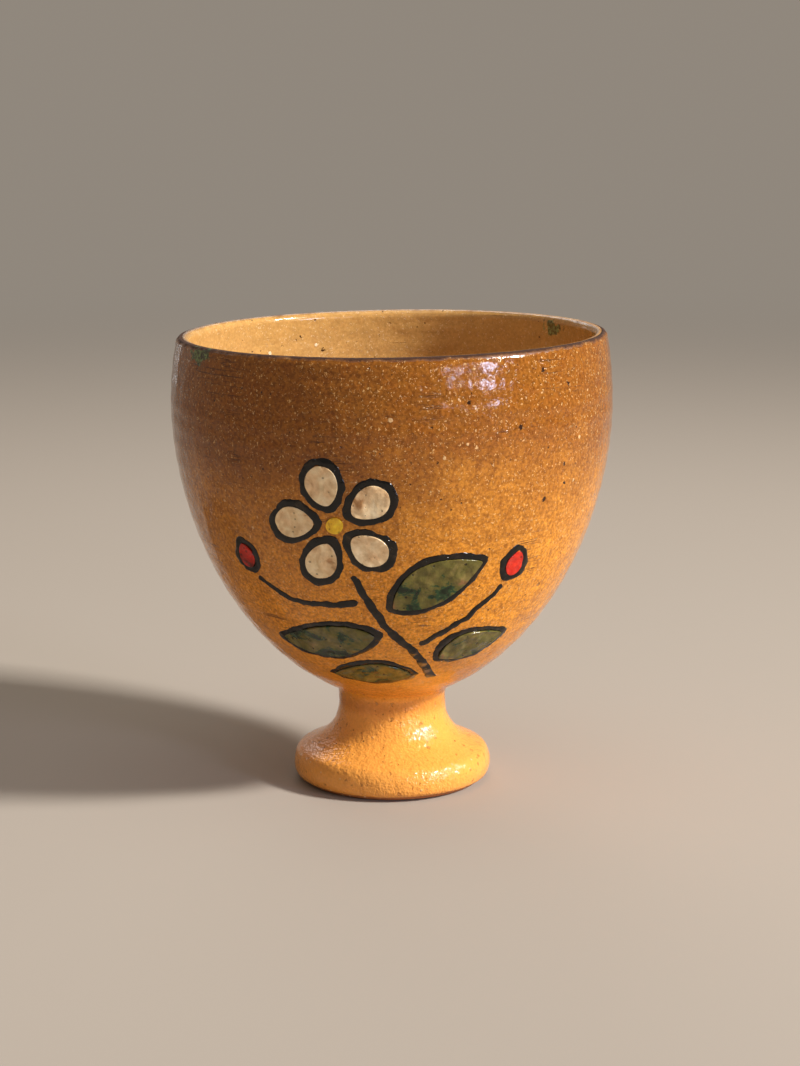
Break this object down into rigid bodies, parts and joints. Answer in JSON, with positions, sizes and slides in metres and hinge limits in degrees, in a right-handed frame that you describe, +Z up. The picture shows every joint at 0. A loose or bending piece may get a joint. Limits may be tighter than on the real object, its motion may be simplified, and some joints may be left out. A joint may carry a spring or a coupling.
{
  "type": "stemmed wine cup",
  "caption": "Hand-thrown stoneware wine cup: an egg-shaped bowl on a short stem and rolled foot, glazed amber, with a trailed flower sprig. It holds a drink and stands on its foot ring.",
  "frame": {"origin": "centre of the foot ring's underside, on the table", "axes": "+Z up along the axis that the cup was thrown on; -Y is the front, where the sprig is; +X is to the right of someone who looks at the front"},
  "size_m": [0.096, 0.096, 0.1006],
  "materials": {
    "clay": "bare grogged stoneware, matt",
    "slip": "fired slip, matt",
    "amber_glaze": "clear amber glaze over speckled clay, glossy",
    "liner_glaze": "pale honey glaze, glossy",
    "dark_line": "black-brown trailed line, satin",
    "olive_glaze": "olive green glaze, glossy",
    "cream_glaze": "cream glaze, glossy",
    "red_glaze": "red glaze, glossy",
    "yellow_glaze": "yellow glaze, glossy"
  },
  "bodies": {
    "root": {"bowl": "clay", "pedestal": "clay", "slip_joint": "slip", "outer_glaze": "amber_glaze", "liner_glaze": "liner_glaze", "stalk_line": "dark_line", "right_twig_line": "dark_line", "left_twig_line": "dark_line", "flower_centre": "yellow_glaze", "leaf_line_1": "dark_line", "leaf_glaze_1": "olive_glaze", "leaf_line_2": "dark_line", "leaf_glaze_2": "olive_glaze", "leaf_line_3": "dark_line", "leaf_glaze_3": "olive_glaze", "leaf_line_4": "dark_line", "leaf_glaze_4": "olive_glaze", "petal_line_1": "dark_line", "petal_glaze_1": "cream_glaze", "petal_line_2": "dark_line", "petal_glaze_2": "cream_glaze", "petal_line_3": "dark_line", "petal_glaze_3": "cream_glaze", "petal_line_4": "dark_line", "petal_glaze_4": "cream_glaze", "petal_line_5": "dark_line", "petal_glaze_5": "cream_glaze", "bud_line_1": "dark_line", "bud_glaze_1": "red_glaze", "bud_line_2": "dark_line", "bud_glaze_2": "red_glaze"}
  },
  "joints": []
}
